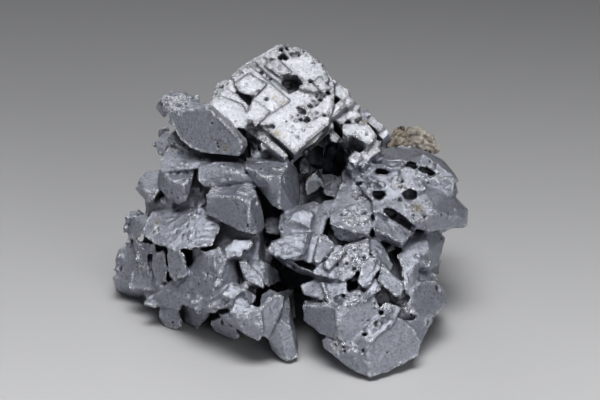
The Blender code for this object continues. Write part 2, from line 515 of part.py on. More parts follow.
def back_crystals(group):
    """Blocky crystals over the back, the flanks and the underside. Each is a cube with its corners cut off."""
    turn = random.Random(SEED)
    for x, y, z, size, blunt in (
        (-38, 3, 11, 11, 0.7), (-30, 14, 8, 14, 1), (-19, 24, 8, 14, 0.6), (-5, 28, 8, 16, 0.7), (10, 27, 8, 14, 1),
        (23, 21, 8, 15, 0.6), (33, 9, 8, 14, 1), (33, -6, 8, 11, 1), (-32, 8, 25, 12, 1), (-27, 17, 27, 13, 0.6),
        (-17, 24, 26, 14, 1), (-3, 29, 27, 16, 0.7), (11, 28, 25, 14, 1), (23, 21, 26, 14, 0.65), (32, 13, 25, 13, 1),
        (38, 4, 26, 11, 1), (-26, 12, 42, 13, 1), (-16, 20, 43, 14, 0.6), (-3, 25, 44, 15, 1), (9, 22, 42, 14, 0.7),
        (18, 15, 40, 12, 1), (28, 8, 38, 10, 1), (36, 2, 37, 9, 1), (-12, 18, 54, 11, 1), (0, 21, 57, 11, 0.6),
        (8, 18, 52, 10, 1), (-26, 2, 6, 12, 1), (-12, 8, 6, 14, 1), (4, 8, 6, 15, 0.7), (20, 4, 6, 14, 1),
        (27, -10, 6, 12, 1), (-15, -8, 7, 12, 1), (-36, -5, 10, 12, 1), (25, -26, 9, 10, 1),
    ):
        block = cut_cube(size * MM, blunt) if blunt < 1 else cube(size * MM)
        angles = Euler([turn.uniform(-0.9, 0.9) for _ in range(3)])
        place = MM * Vector((x, y, z))
        hull([place + angles.to_matrix() @ corner for corner in block], group)


def cube(size):
    return [size / 2 * Vector((x, y, z)) for x in (-1, 1) for y in (-1, 1) for z in (-1, 1)]


def cut_cube(size, keep):
    """The corners of a cube whose own corners are cut off, at keep of the way along each edge from its middle."""
    half = size / 2
    corners = []
    for x in (-1, 1):
        for y in (-1, 1):
            for z in (-1, 1):
                corners.append(half * Vector((x * keep, y, z)))
                corners.append(half * Vector((x, y * keep, z)))
                corners.append(half * Vector((x, y, z * keep)))
    return corners


def box(low, high, group):
    corners = []
    for x in (low[0], high[0]):
        for y in (low[1], high[1]):
            for z in (low[2], high[2]):
                corners.append(MM * Vector((x, y, z)))
    return hull(corners, group)


def boolean(solid, operation, group):
    cut = solid.modifiers.new(operation.lower(), "BOOLEAN")
    cut.operation = operation
    cut.solver = "EXACT"
    cut.operand_type = "COLLECTION"
    cut.collection = group


def outer_shell(solid):
    """Works out the Booleans and keeps the outer surface. A gap that no opening leads to is solid ore."""
    graph = bpy.context.evaluated_depsgraph_get()
    data = bpy.data.meshes.new_from_object(solid.evaluated_get(graph))
    mesh = bmesh.new()
    mesh.from_mesh(data)
    left = set(mesh.faces)
    shells = []
    while left:
        shell = [left.pop()]
        for face in shell:
            for edge in face.edges:
                for other in edge.link_faces:
                    if other in left:
                        left.discard(other)
                        shell.append(other)
        shells.append(shell)
    shells.sort(key=lambda faces: sum(f.calc_area() for f in faces))
    inner = [face for shell in shells[:-1] for face in shell]
    bmesh.ops.delete(mesh, geom=inner, context="FACES")
    mesh.to_mesh(data)
    mesh.free()
    solid.modifiers.clear()
    solid.data = data


def joined(name, look, *operations):
    """One solid under its own name, from the union of the first group and then the difference of any other."""
    data = bpy.data.meshes.new(name)
    solid = bpy.data.objects.new(name, data)
    bpy.context.scene.collection.objects.link(solid)
    first, *rest = operations
    source = first.objects[0]
    solid.data = source.data.copy()
    solid.data.name = name
    first.objects.unlink(source)
    bpy.data.objects.remove(source)
    boolean(solid, "UNION", first)
    for group in rest:
        boolean(solid, "DIFFERENCE", group)
    solid.data.materials.append(look)
    outer_shell(solid)
    return solid


def stand_over_origin(solids):
    """Moves the specimen sideways until the middle of its width and depth is over the origin."""
    points = [v.co for solid in solids for v in solid.data.vertices]
    shift = Vector()
    for axis in (0, 1):
        shift[axis] = -(min(p[axis] for p in points) + max(p[axis] for p in points)) / 2
    for solid in solids:
        solid.data.transform(Matrix.Translation(shift))


def main():
    clear_scene()
    grown = helper_collection("grown")
    core(grown)
    top_crystal(grown)
    small_cubes(grown)
    centre_crystals(grown)
    shield_plate(grown)
    left_crystals(grown)
    large_left_crystal(grown)
    lower_left_crystals(grown)
    shoulder(grown)
    right_crystals(grown)
    ribs_and_loops(grown)
    lower_right_crystals(grown)
    back_crystals(grown)

    cutters = helper_collection("cutters")
    top_crystal_hollows(cutters)
    shoulder_hollows(cutters)
    box((-120, -120, -40), (120, 120, 0), cutters)
    crust_grains(cutters, CONTACT_GAP)

    crust = helper_collection("crust")
    crust_grains(crust)

    galena = joined("galena_cluster", material("galena", (0.40, 0.41, 0.45), 0.42, 0.9), grown, cutters)
    siderite = joined("siderite_crust", material("siderite", (0.30, 0.24, 0.18), 0.8, 0.0), crust)
    stand_over_origin([galena, siderite])
    for group in (grown, cutters, crust):
        for item in list(group.objects):
            bpy.data.objects.remove(item)


main()
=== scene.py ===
"""The looks of a galena specimen: etched lead-grey crystals with a siderite crust, on a pale studio floor.

Places are given on the display face, the side that a collector turns to the front: (across, up, out) in
millimetres, as they show to someone who looks at it squarely, the way the camera does.
"""

import itertools
import math
import random

import bmesh
import bpy
import numpy as np
from mathutils import Euler, Matrix, Vector
from mathutils.bvhtree import BVHTree


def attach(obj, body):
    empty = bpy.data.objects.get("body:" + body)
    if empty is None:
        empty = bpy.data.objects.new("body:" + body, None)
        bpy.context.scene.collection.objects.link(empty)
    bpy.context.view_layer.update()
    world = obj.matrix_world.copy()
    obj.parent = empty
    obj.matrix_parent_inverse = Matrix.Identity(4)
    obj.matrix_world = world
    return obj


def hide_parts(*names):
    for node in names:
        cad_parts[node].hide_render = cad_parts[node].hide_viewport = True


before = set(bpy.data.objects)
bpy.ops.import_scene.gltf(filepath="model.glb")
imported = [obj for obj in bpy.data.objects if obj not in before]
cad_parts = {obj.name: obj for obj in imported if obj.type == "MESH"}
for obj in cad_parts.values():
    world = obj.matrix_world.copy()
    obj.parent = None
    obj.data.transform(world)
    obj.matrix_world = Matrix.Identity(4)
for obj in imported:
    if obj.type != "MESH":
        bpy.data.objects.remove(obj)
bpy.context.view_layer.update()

# The ore. All the lead-grey crystals grew into each other, so the cluster is one mass of galena. Its shape is
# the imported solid's, with dulled edges, etched pits and growth steps. To stay light it is shown as five meshes
# that meet at flat seams, and the summit as a sixth, which reaches a little into them.
MM = 0.001
VIEW_DISTANCE = 930.0
FACE_LEAN = math.radians(28)
FACE_MIDDLE = Vector((0.109, 2.990, 28.2))
CLEAVAGE_LEAN = math.radians(30)
NORMAL = Vector((0, math.sin(CLEAVAGE_LEAN), math.cos(CLEAVAGE_LEAN)))
EDGE_DOWN = Vector((1, -math.cos(CLEAVAGE_LEAN), math.sin(CLEAVAGE_LEAN))).normalized()
EDGE_UP = Vector((1, math.cos(CLEAVAGE_LEAN), -math.sin(CLEAVAGE_LEAN))).normalized()
SUMMIT_CORNER = Vector((1.2, 15.8, 14.0))


def from_face(across, up, out):
    """The point in metres of a place on the display face. Sight lines close in towards the viewer."""
    nearer = 1 - out / VIEW_DISTANCE
    across, up = across * nearer, up * nearer
    level = up * math.sin(FACE_LEAN) - out * math.cos(FACE_LEAN)
    height = up * math.cos(FACE_LEAN) + out * math.sin(FACE_LEAN)
    return MM * (FACE_MIDDLE + Vector((across, level, height)))


def direction(across, up, out):
    """A direction of the display face, in the specimen's own axes."""
    level = up * math.sin(FACE_LEAN) - out * math.cos(FACE_LEAN)
    return Vector((across, level, up * math.cos(FACE_LEAN) + out * math.sin(FACE_LEAN))).normalized()


def merged_copy(node):
    """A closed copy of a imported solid, whose triangles are loose."""
    mesh = bmesh.new()
    mesh.from_mesh(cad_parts[node].data)
    bmesh.ops.remove_doubles(mesh, verts=mesh.verts, dist=1e-6)
    return mesh


def hull_around(places):
    """A closed convex mesh around places in metres."""
    shape = bmesh.new()
    for place in places:
        shape.verts.new(place)
    bmesh.ops.convex_hull(shape, input=shape.verts)
    bmesh.ops.recalc_face_normals(shape, faces=shape.faces)
    return shape


def hull(*corners):
    """A closed convex mesh around corners that are given on the display face."""
    return hull_around(from_face(*corner) for corner in corners)


def object_of(mesh):
    """A scene object that holds a finished bmesh."""
    data = bpy.data.meshes.new("shape")
    mesh.to_mesh(data)
    mesh.free()
    holder = bpy.data.objects.new("shape", data)
    bpy.context.scene.collection.objects.link(holder)
    return holder


def joined(shapes):
    """Closed shapes as one mesh, still crossing each other."""
    together = bmesh.new()
    for shape in shapes:
        data = bpy.data.meshes.new("shape")
        shape.to_mesh(data)
        shape.free()
        together.from_mesh(data)
        bpy.data.meshes.remove(data)
    return together


def carved(mesh, block, operation, crossing=False):
    """What is left of a closed mesh inside or outside of a block, whose own parts may be crossing each other."""
    shape, cutter = object_of(mesh), object_of(block)
    cut = shape.modifiers.new("cut", "BOOLEAN")
    cut.operation = operation
    cut.solver = "EXACT"
    cut.use_self = crossing
    cut.object = cutter
    graph = bpy.context.evaluated_depsgraph_get()
    left = bmesh.new()
    left.from_mesh(bpy.data.meshes.new_from_object(shape.evaluated_get(graph)))
    for item in (shape, cutter):
        bpy.data.objects.remove(item)
    return left


def grown_mesh(shape, grain, fewest=400):
    """A mesh of even grain over closed shapes. Crossing parts are fused, and loose crumbs, which have fewer
    vertices than fewest, are left out."""
    solid = object_of(shape)
    remesh = solid.modifiers.new("grain", "REMESH")
    remesh.mode = "VOXEL"
    remesh.voxel_size = grain * MM
    graph = bpy.context.evaluated_depsgraph_get()
    even = bpy.data.meshes.new_from_object(solid.evaluated_get(graph))
    bpy.data.objects.remove(solid)
    pairs = np.zeros(len(even.edges) * 2, np.int64)
    even.edges.foreach_get("vertices", pairs)
    one, other = pairs.reshape(-1, 2).T
    mass = np.arange(len(even.vertices))
    while True:
        lower = mass.copy()
        np.minimum.at(lower, one, mass[other])
        np.minimum.at(lower, other, mass[one])
        lower = lower[lower]
        if (lower == mass).all():
            break
        mass = lower
    crumbs = np.flatnonzero(np.bincount(mass)[mass] < fewest)
    kept = bmesh.new()
    kept.from_mesh(even)
    kept.verts.ensure_lookup_table()
    bmesh.ops.delete(kept, geom=[kept.verts[index] for index in crumbs], context="VERTS")
    kept.to_mesh(even)
    kept.free()
    return even


def lattice(cell, seed):
    """A fixed number from 0 to 1 for each cell of a grid."""
    mixed = cell[..., 0] * 73856093 ^ cell[..., 1] * 19349663 ^ cell[..., 2] * 83492791 ^ seed * 961748927
    mixed = (mixed ^ (mixed >> 13)) * 1274126177 & 0xFFFFFFFF
    return ((mixed ^ (mixed >> 16)) & 0xFFFFFF) / 0xFFFFFF


def swell(points, size, seed):
    """Smooth noise from -1 to 1, with waves of about size mm."""
    place = points / size
    base = np.floor(place).astype(np.int64)
    part = place - base
    part = part * part * (3 - 2 * part)
    total = np.zeros(len(points))
    for corner in itertools.product((0, 1), repeat=3):
        weight = np.prod(np.where(np.array(corner) == 1, part, 1 - part), axis=1)
        total += weight * lattice(base + np.array(corner), seed)
    return 2 * total - 1


def pitting(points, spacing, share, radius, seed):
    """How deep each point is, from 0 to 1, in round pits scattered through space.

    spacing and radius are in mm, and share is how many of the places have a pit, from 0 to 1.
    """
    place = points / spacing
    base = np.floor(place).astype(np.int64)
    deep = np.zeros(len(points))
    for step in itertools.product((-1, 0, 1), repeat=3):
        cell = base + np.array(step)
        middle = cell + 0.2 + 0.6 * np.stack([lattice(cell, seed + k) for k in (1, 2, 3)], axis=1)
        wide = radius * (0.45 + 0.9 * lattice(cell, seed + 4))
        away = np.linalg.norm(place - middle, axis=1) * spacing / wide
        deep = np.maximum(deep, np.where(lattice(cell, seed) < share, np.clip(1.15 - away, 0, 1), 0))
    return np.clip(deep * 1.6, 0, 1)


def ramp(values, low, high):
    """0 below low, 1 above high, and an even slope between them."""
    return np.clip((values - low) / (high - low), 0, 1)


def closed_in(points, outward):
    """How far the ore around each point closes it in, from 0 in the open to 1 in a deep recess.

    It looks a short way out in even directions all around, and counts those in which other ore is in the way.
    """
    ways, turn, least_outward, sight = 18, 2.4, 0.3, 20 * MM
    blocked, tried = np.zeros(len(points)), np.zeros(len(points))
    for k in range(ways):
        level = 1 - (2 * k + 1) / ways
        flat = math.sqrt(1 - level * level)
        way = Vector((flat * math.cos(turn * k), flat * math.sin(turn * k), level))
        for index in np.flatnonzero(outward @ np.array(way) > least_outward):
            tried[index] += 1
            if packed_ore.ray_cast(Vector(points[index]) * MM, way, sight)[0]:
                blocked[index] += 1
    return blocked / np.maximum(tried, 1)


solid = merged_copy("galena_cluster")
packed_ore = BVHTree.FromBMesh(solid)


def reach(across, up):
    """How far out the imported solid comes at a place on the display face."""
    clear = 60
    near, far = from_face(across, up, clear), from_face(across, up, -clear)
    hit = packed_ore.ray_cast(near, (far - near).normalized())
    return clear - 2 * clear * hit[3] / (far - near).length if hit[0] else 0.0


def relaxed(points, pairs, valence, rounds, pull):
    """The points after each has moved a few times towards the middle of its neighbours."""
    moved = points.copy()
    for _ in range(rounds):
        total = np.zeros_like(moved)
        for axis in range(moved.shape[1]):
            total[:, axis] = np.bincount(pairs[:, 0], moved[pairs[:, 1], axis], len(moved))
            total[:, axis] += np.bincount(pairs[:, 1], moved[pairs[:, 0], axis], len(moved))
        moved += pull * (total / valence - moved)
    return moved


# Patches of the display face, each as (across, up, radius): coarsely etched ore, crusted ore, and ore darkened with
# painted shade.
COARSE = [
    (-15.4, -25.6, 1.2), (-12.6, -29.6, 1.2), (-14.6, -31.2, 1.3), (-22.4, -19.0, 1.3), (-24.6, -16.6, 1.1),
    (13.2, -28.0, 1.2), (24.0, -25.6, 1.3), (-35.5, 6.0, 1.5), (-9.0, 2.0, 1.3), (-19.5, 12.0, 1.4),
    (10.5, -3.0, 1.2), (-14.5, 38.4, 1.5), (-9.6, 41.2, 1.5), (-5.4, 40.0, 1.1), (-2.4, 39.2, 1.1),
    (-12.0, 21.0, 2.0), (-8.4, 20.8, 1.8), (0.4, 37.8, 1.1), (-19.2, 34.6, 1.5), (3.2, 44.4, 1.3),
    (9.8, 37.4, 1.3), (-31.0, 26.8, 1.6), (-38.0, -12.0, 1.6), (-3.4, 11.6, 1.7), (-1.6, 8.8, 1.3),
    (-5.8, 9.0, 1.4), (-30.0, 12.4, 1.6), (-12.0, -8.6, 1.2), (3.2, -1.6, 1.5), (18.5, -2.0, 5.0),
    (20.0, 4.5, 3.6), (17.0, -14.0, 5.0), (11.0, -25.5, 3.0), (31.5, -26.0, 3.0), (26.0, -27.0, 2.2),
    (3.5, -8.0, 2.2), (-32.0, 30.5, 5.0), (-22.0, 5.0, 3.0), (-13.0, 5.5, 3.0), (-9.0, 10.5, 2.6),
    (13.5, -38.0, 3.4), (-33.0, 17.5, 3.2), (-20.5, -21.0, 1.5), (-18.5, -24.5, 1.6), (-16.0, -27.5, 1.6),
    (-8.0, -16.5, 1.6), (27.0, -29.6, 1.4), (24.0, -32.2, 1.6), (21.0, -35.4, 1.8), (17.5, -38.5, 2.2),
    (16.0, -24.6, 1.6), (20.8, -23.0, 1.6), (38.9, -31.0, 2.4), (28.5, 7.6, 1.8), (33.5, 4.2, 1.8),
    (38.4, 1.6, 2.0), (40.0, 9.0, 4.0), (36.0, 8.5, 2.6), (36.0, -1.0, 3.4), (-43.0, -12.5, 3.0),
    (19.5, -23.5, 2.4), (22.0, 10.8, 2.2), (30.0, 7.4, 3.0), (36.5, 9.6, 2.6), (33.0, 1.0, 2.4),
    (38.0, -2.0, 2.4), (43.5, 5.8, 2.2), (-27.0, -2.0, 2.0), (-37.0, -5.0, 2.4), (-41.0, -16.0, 2.2),
    (20.0, -10.5, 2.4), (13.5, -17.6, 2.0), (-24.0, 14.6, 1.8),
]
CRUSTED = [
    (-4.6, 31.4, 1.7), (-3.0, 33.0, 1.3), (-2.2, 30.4, 1.1), (-6.0, 32.6, 1.0), (-3.4, 21.3, 1.2), (-1.6, 20.6, 0.9),
    (8.4, 21.9, 1.0), (6.4, 19.4, 0.9), (3.4, 17.0, 0.8), (36.0, 0.5, 1.8), (30.4, 6.4, 1.2), (26.5, 16.4, 1.4),
    (-22.0, 20.5, 0.9), (20.5, 24.6, 1.2), (-17.8, 17.2, 1.2), (5.4, 9.0, 1.3), (-36.8, -3.4, 1.6),
]
# Patches of painted shade, the largest over the deep recess under the summit.
SHADE_PATCHES = [
    (-10.6, 21.4, 2.2), (-14.6, 38.8, 0.9), (-4.8, 40.7, 0.7), (-19.4, 34.5, 1.1), (10.0, 14.0, 8.0),
    (5.6, 17.6, 2.6), (9.5, 21.6, 2.6), (7.0, 6.0, 3.4), (4.5, 13.5, 2.6),
]


def spots(points, places):
    """How deep each point lies, from 0 to 1, in patches around (across, up, radius) places of the display face."""
    outside = -99.0
    most = np.full(len(points), outside)
    for across, up, radius in places:
        middle = np.array(from_face(across, up, reach(across, up)) / MM)
        most = np.maximum(most, radius - np.linalg.norm(points - middle, axis=1))
    return ramp(most + swell(points, 2.5, 301), 0, 1.2)


def etch(even, grain, crisp, inside):
    """Dulls the edges of an even mesh, and gives it growth steps, lumpy rims and pits. Returns its vertex marks.

    crisp is how far the faces are fresh cleavage, and inside is how many mm each point lies within its own part.
    """
    count = len(even.vertices)
    points = np.zeros(count * 3)
    even.vertices.foreach_get("co", points)
    points = points.reshape(-1, 3) / MM
    pairs = np.zeros(len(even.edges) * 2, np.int64)
    even.edges.foreach_get("vertices", pairs)
    pairs = pairs.reshape(-1, 2)
    valence = np.maximum(np.bincount(pairs.ravel(), minlength=count), 1)[:, None]

    def normals(at):
        """Moves the mesh's vertices to their new places, and gives the normals that they have there."""
        even.vertices.foreach_set("co", (at * MM).ravel())
        even.update()
        found = np.zeros(count * 3)
        even.vertices.foreach_get("normal", found)
        return found.reshape(-1, 3)

    def drift(size, seed):
        """Smooth noise in three directions at once."""
        return np.stack([swell(points, size, seed + k) for k in range(3)], axis=1)

    # Proud edges become rims. Creases, and places deep among other crystals, get painted shade: their colour is
    # darkened where shade falls.
    own = ramp(inside(points), 1.0, 2.4)
    dull = relaxed(points, pairs, valence, 2, 0.5)
    broad = relaxed(dull, pairs, valence, round((1.2 / grain) ** 2 * 2), 0.6)
    outward = normals(relaxed(dull, pairs, valence, 4, 0.5))
    proud = np.sum((dull - broad) * outward, axis=1)
    rim = ramp(proud, 0.05, 0.40) * own
    # Rays count how far the ore closes each point in, and the enclosed places are darkened as painted shade.
    closed = relaxed(closed_in(dull + outward, outward)[:, None], pairs, valence, 20, 0.6)[:, 0]
    recess_shade = np.maximum(ramp(-proud, 0.05, 0.40), ramp(closed, 0.40, 0.95))
    # The listed patches add painted shade.
    recess_shade = np.maximum(recess_shade, 0.85 * spots(points, SHADE_PATCHES))

    # The relief, in mm: broad swells, growth steps, knobs on rims and rough ground, coarse patches, then pits.
    calm = 1 - crisp
    rough = ramp(swell(points, 15, 11) + 0.5 * swell(points, 6, 12), 0.05, 0.55)
    height = 0.05 * swell(points, 4.5, 21) * calm
    bent = points + 1.1 * drift(4.5, 31)
    steps = 4.2 * swell(bent, 8, 41)
    past = steps - np.floor(steps)
    height += calm * 0.06 * (ramp(past, 0.0, 0.14) - past) * rough
    ridge = 1 - 2 * np.abs(swell(bent, 2.2, 51))
    knobs = 0.20 * ridge + 0.24 * swell(points, 1.15, 61) + 0.24 * swell(points, 0.75, 62)
    height += knobs * np.clip(rim + 0.45 * rough * (1 - recess_shade), 0, 1.1) * (1 - 0.75 * crisp)
    coarse = spots(points, COARSE)
    height += coarse * (0.42 * swell(points, 0.95, 311) + 0.25 * swell(points, 1.9, 312))
    small = pitting(points, 1.6, 0.42, 0.36, 71) * ramp(swell(points, 5, 91), -0.4, 0.3)
    large = pitting(points * np.array([1.0, 1.0, 0.6]), 3.6, 0.50, 0.70, 81) * ramp(swell(points, 9, 92), -0.1, 0.3)
    deep = pitting(points, 1.5, 0.55, 0.5, 321) * coarse
    height -= 0.42 * small + 0.95 * large + 0.75 * deep
    height = height * own - 0.35 * (1 - own)
    wander = (0.20 * drift(4.0, 101) + 0.30 * drift(1.7, 111) * rim[:, None]) * (1 - 0.7 * crisp) * own[:, None]
    shaped = dull + outward * height[:, None] + wander
    over_floor = 0.02
    shaped[:, 2] = np.maximum(shaped[:, 2], over_floor)
    normals(shaped)
    return {
        # How deep each point lies in a pit, which the material darkens as painted shade.
        "pit": np.maximum(np.maximum(small, large), deep),
        "rim": np.maximum(rim, 0.7 * coarse),
        # Painted shade for creases and recesses.
        "recess_shade": recess_shade,
        "fresh": crisp * np.ones(count),
        "crusted": spots(points, CRUSTED),
    }


def mark(even, marks):
    """Stores an ore mesh's marks, for its material to read."""
    for name, values in marks.items():
        layer = even.attributes.new(name, "FLOAT", "POINT")
        layer.data.foreach_set("value", values.astype(np.float32))


def finished(name, even, look):
    """The mesh as a shown piece that rides with the specimen."""
    even.name = name
    even.materials.clear()
    even.materials.append(look)
    piece = bpy.data.objects.new(name, even)
    bpy.context.scene.collection.objects.link(piece)
    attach(piece, "root")
    return piece


def ore_look(name, etched, fresh, bright, metal, gloss):
    """Galena: metallic, lead-grey where it is etched and silver on fresh cleavage, with painted highlights as bright
    flecks on rims, and painted shade that darkens specks, pits, creases and recesses.
    """
    look = bpy.data.materials.new(name)
    look.use_nodes = True
    nodes, links = look.node_tree.nodes, look.node_tree.links
    shader = nodes["Principled BSDF"]
    shader.inputs["Metallic"].default_value = metal
    shader.inputs["IOR"].default_value = 1.6
    place = nodes.new("ShaderNodeTexCoord").outputs["Object"]

    def noise(scale, detail=3.0, roughness=0.55):
        made = nodes.new("ShaderNodeTexNoise")
        made.inputs["Scale"].default_value = scale
        made.inputs["Detail"].default_value = detail
        made.inputs["Roughness"].default_value = roughness
        links.new(place, made.inputs["Vector"])
        return made.outputs["Fac"]

    def graded(value, low, high, to_low, to_high):
        made = nodes.new("ShaderNodeMapRange")
        made.inputs["From Min"].default_value = low
        made.inputs["From Max"].default_value = high
        made.inputs["To Min"].default_value = to_low
        made.inputs["To Max"].default_value = to_high
        links.new(value, made.inputs["Value"])
        return made.outputs["Result"]

    def blended(factor, one, other):
        made = nodes.new("ShaderNodeMix")
        made.data_type = "RGBA"
        links.new(factor, made.inputs["Factor"])
        for socket, value in ((made.inputs["A"], one), (made.inputs["B"], other)):
            if isinstance(value, tuple):
                socket.default_value = (*value, 1)
            else:
                links.new(value, socket)
        return made.outputs["Result"]

    def product(one, other):
        made = nodes.new("ShaderNodeMath")
        made.operation = "MULTIPLY"
        links.new(one, made.inputs[0])
        links.new(other, made.inputs[1])
        return made.outputs[0]

    def marked(layer):
        made = nodes.new("ShaderNodeAttribute")
        made.attribute_name = layer
        return made.outputs["Fac"]

    own = blended(marked("fresh"), etched, fresh)
    dimmed = nodes.new("ShaderNodeVectorMath")
    dimmed.operation = "SCALE"
    links.new(own, dimmed.inputs[0])
    links.new(graded(noise(800, 8, 0.8), 0.32, 0.68, 0.66, 1.18), dimmed.inputs["Scale"])
    # Painted shade: fine dark specks stand for the shade in pits too small for the mesh.
    speck_shade = product(graded(noise(1500, 4, 0.7), 0.36, 0.46, 0.95, 0), graded(noise(230, 2), 0.36, 0.58, 0.3, 1))
    with_speck_shade = blended(speck_shade, dimmed.outputs[0], tuple(0.28 * c for c in etched))
    # Painted highlights: bright knobby flecks on rims and coarse patches, like glints of the light.
    rim_glints = product(marked("rim"), graded(noise(900, 2), 0.45, 0.60, 0, 1))
    with_painted_glints = blended(graded(rim_glints, 0.05, 0.6, 0, 0.9), with_speck_shade, bright)
    # Painted shade: the colour goes to a dim lead-grey in creases and recesses.
    shaded_colour = blended(graded(marked("recess_shade"), 0.15, 0.9, 0, 0.85), with_painted_glints, tuple(0.15 * c for c in etched))
    # Painted shade: the pits' colour goes nearly black.
    nearly_black, cream_brown = (0.02, 0.02, 0.024), (0.33, 0.29, 0.22)
    with_pit_shade = blended(graded(marked("pit"), 0.15, 0.7, 0, 0.9), shaded_colour, nearly_black)
    crusted = product(marked("crusted"), graded(noise(700, 3), 0.34, 0.52, 0.1, 1))
    links.new(blended(crusted, with_pit_shade, cream_brown), shader.inputs["Base Color"])
    sheen = nodes.new("ShaderNodeMath")
    sheen.operation = "SUBTRACT"
    links.new(graded(noise(420), 0.3, 0.7, gloss - 0.12, gloss + 0.10), sheen.inputs[0])
    links.new(graded(marked("rim"), 0.0, 0.8, 0, 0.14), sheen.inputs[1])
    links.new(sheen.outputs[0], shader.inputs["Roughness"])
    bump = nodes.new("ShaderNodeBump")
    bump.inputs["Strength"].default_value = 0.9
    bump.inputs["Distance"].default_value = 0.0005
    grain = product(noise(1900, 4, 0.65), graded(marked("rim"), 0.0, 0.8, 0.55, 1.5))
    links.new(grain, bump.inputs["Height"])
    links.new(bump.outputs["Normal"], shader.inputs["Normal"])
    return look


# The bright colour is that of the painted highlights on the rims.
galena = ore_look(
    "galena", etched=(0.375, 0.395, 0.455), fresh=(0.53, 0.545, 0.585), bright=(0.82, 0.83, 0.87), metal=0.80,
    gloss=0.42,
)
SUMMIT_FOOT = 13.2
SUMMIT_DEPTH = 9.0
OVERLAP = 2.5
FACE_AXES = [direction(1, 0, 0), direction(0, 1, 0), direction(0, 0, 1)]


def on_face(points):
    """Where points in mm lie on the display face, without its perspective: rows of across, up and out."""
    return (points - np.array(FACE_MIDDLE)) @ np.array(FACE_AXES).T


def summit_room(points):
    """How many mm each point lies within the summit's space: above its foot, and over its sloping underside."""
    place = on_face(points) - np.array(SUMMIT_CORNER)
    return np.minimum(place[:, 1] + SUMMIT_CORNER.y - SUMMIT_FOOT, place @ np.array(NORMAL) + SUMMIT_DEPTH)


def summit_block(inset):
    """The wedge of space that the summit takes up, drawn in by inset mm. It goes well past the cluster's top."""
    beyond, above = 80, 70
    axes = Matrix(FACE_AXES).transposed()
    places = []
    for across, up in itertools.product((-beyond, beyond), (SUMMIT_FOOT + inset, beyond)):
        out = SUMMIT_CORNER.z - (up - SUMMIT_CORNER.y) * math.tan(CLEAVAGE_LEAN)
        for height in (inset - SUMMIT_DEPTH, above):
            places.append(MM * (FACE_MIDDLE + axes @ (Vector((across, up, out)) + NORMAL * height)))
    return hull_around(places)


def halves(mesh, place, towards):
    """The two closed parts of a mesh, before and behind a plane."""
    parts = []
    for side in (1, -1):
        part = mesh.copy()
        geometry = part.verts[:] + part.edges[:] + part.faces[:]
        cut = bmesh.ops.bisect_plane(
            part, geom=geometry, dist=1e-7, plane_co=place, plane_no=side * towards, clear_outer=True
        )
        rim = [item for item in cut["geom_cut"] if isinstance(item, bmesh.types.BMEdge)]
        for edge in rim:
            edge.smooth = False
        for face in bmesh.ops.holes_fill(part, edges=rim, sides=0)["faces"]:
            face.smooth = False
        parts.append(part)
    mesh.free()
    return parts


def somewhere_on(face, draw):
    """A random place on a triangle."""
    shares = sorted(draw.random() for _ in range(2))
    weights = (shares[0], shares[1] - shares[0], 1 - shares[1])
    return sum((w * v.co for w, v in zip(weights, face.verts)), Vector())


def small_growth(count, low, high, seed, wanted):
    """Small blocks grown half out of the ore, parallel to their neighbours, where wanted allows them.

    They are low to high mm wide, and none grows so near the floor that it would stand in it.
    """
    near_floor = 3.2 * MM
    ore = merged_copy("galena_cluster")
    draw = random.Random(seed)
    faces = draw.choices(ore.faces[:], weights=[face.calc_area() for face in ore.faces], k=count)
    places, outward = [], []
    for face in faces:
        places.append(somewhere_on(face, draw))
        outward.append(face.normal.copy())
    ore.free()
    keep = wanted(np.array(places) / MM)
    blocks = []
    for place, normal, kept in zip(places, outward, keep):
        size = low + (high - low) * draw.random() ** 2
        stretch = [draw.uniform(0.55, 1.3) for _ in range(3)]
        if not kept or place.z < near_floor:
            continue
        turn = region_turn(place)
        corners = []
        for corner in itertools.product((-0.5, 0.5), repeat=3):
            side = Vector(c * size * wide for c, wide in zip(corner, stretch))
            corners.append(place + MM * (turn @ side + normal * size * 0.12))
        blocks.append(hull_around(corners))
    return blocks


def region_turn(place):
    """How the crystals of one region of the ore are turned."""
    region = 13 * MM
    cell = [math.floor(c / region) for c in place]
    draw = random.Random(cell[0] * 7919 + cell[1] * 104729 + cell[2] * 1299709)
    return Euler([draw.uniform(-0.8, 0.8) for _ in range(3)]).to_matrix()


LEFT_SEAM, RIGHT_SEAM, BACK_SEAM = -11.0, 12.0, -12.0
CROWDED = [
    (-9.0, -12.0, 3.0), (-20.0, 11.0, 2.4), (-38.0, -22.0, 4.0), (-34.0, 3.0, 2.6), (37.0, -15.0, 3.4),
    (24.0, -19.0, 2.6), (41.0, 8.0, 3.0), (33.0, -27.0, 2.6), (-25.0, -28.0, 4.0), (10.0, -24.5, 2.6),
    (-14.0, -21.0, 2.2), (26.0, -9.0, 2.4), (-27.0, 5.0, 2.4),
]


def crowded(points):
    """Where small blocks crowd the etched crystals: over the back, and in a few spots of the display face."""
    near = spots(points, CROWDED) > 0
    behind = on_face(points)[:, 2] < -8
    patchy = swell(points, 11, 201) + 0.4 * swell(points, 4, 202) > 0.12
    return (near | behind & patchy) & (summit_room(points) < -2)


def middle_of(outline):
    """The middle, (across, up), of an outline's corners on the display face."""
    return sum(place[0] for place in outline) / len(outline), sum(place[1] for place in outline) / len(outline)


def dug(deep, *outline):
    """The hole that an outline on the display face makes, from in front of the ore to deep mm into it."""
    clear, taper = 5, 0.85
    across, up = middle_of(outline)
    front = max(reach(*place) for place in [(across, up), *outline])
    corners = []
    for place in outline:
        corners.append((*place, front + clear))
        corners.append((across + taper * (place[0] - across), up + taper * (place[1] - up), front - deep))
    return hull(*corners)


